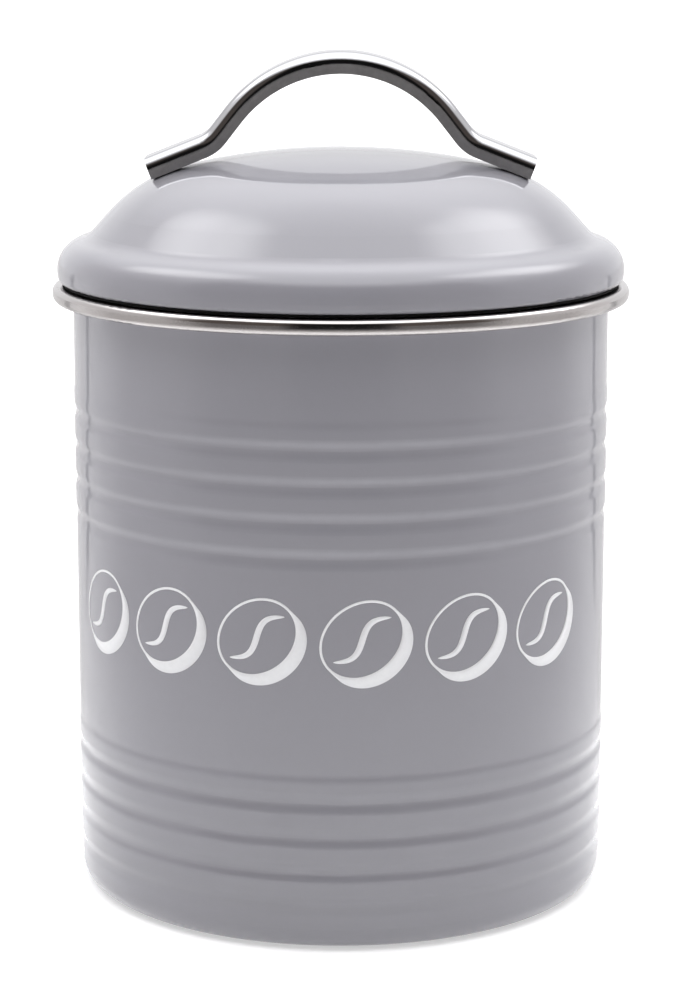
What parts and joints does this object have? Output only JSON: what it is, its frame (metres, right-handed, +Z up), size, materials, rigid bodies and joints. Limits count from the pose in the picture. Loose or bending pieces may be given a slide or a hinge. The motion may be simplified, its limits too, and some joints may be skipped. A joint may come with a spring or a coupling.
{
  "type": "storage canister",
  "caption": "Round steel storage tin with beaded bands, a bright rim ring and a domed lift-off lid with a strap handle.",
  "frame": {"origin": "centre of the circle that the base stands on, on the floor", "axes": "+Z up along the tin's axis, +X along the handle's span, -Y is the front with the printed motif"},
  "size_m": [0.1162, 0.1162, 0.1695],
  "materials": {
    "painted_steel": "gloss coated grey enamel",
    "painted_steel_base": "gloss coated grey enamel",
    "polished_steel": "polished",
    "painted_lid": "gloss coated grey enamel",
    "painted_skirt": "satin coated grey enamel",
    "black_silicone": "matt",
    "handle_steel": "polished on top, satin on its flanks",
    "screw_steel": "bright zinc",
    "washer_steel": "bright zinc",
    "printed_white": "screen-printed ink"
  },
  "bodies": {
    "tin": {"body_shell": "painted_steel", "base_disc": "painted_steel_base", "rim_ring": "polished_steel"},
    "lid": {"lid_shell": "painted_lid", "lid_skirt": "painted_skirt", "seal_ring": "black_silicone", "handle": "handle_steel", "handle_screw_left": "screw_steel", "handle_screw_right": "screw_steel", "screw_washer_left": "washer_steel", "screw_washer_right": "washer_steel"}
  },
  "joints": [
    {"name": "lid_lift", "type": "slide", "parent": "tin", "child": "lid", "axis": [0, 0, 1], "range_m": [0, 0.08]}
  ]
}
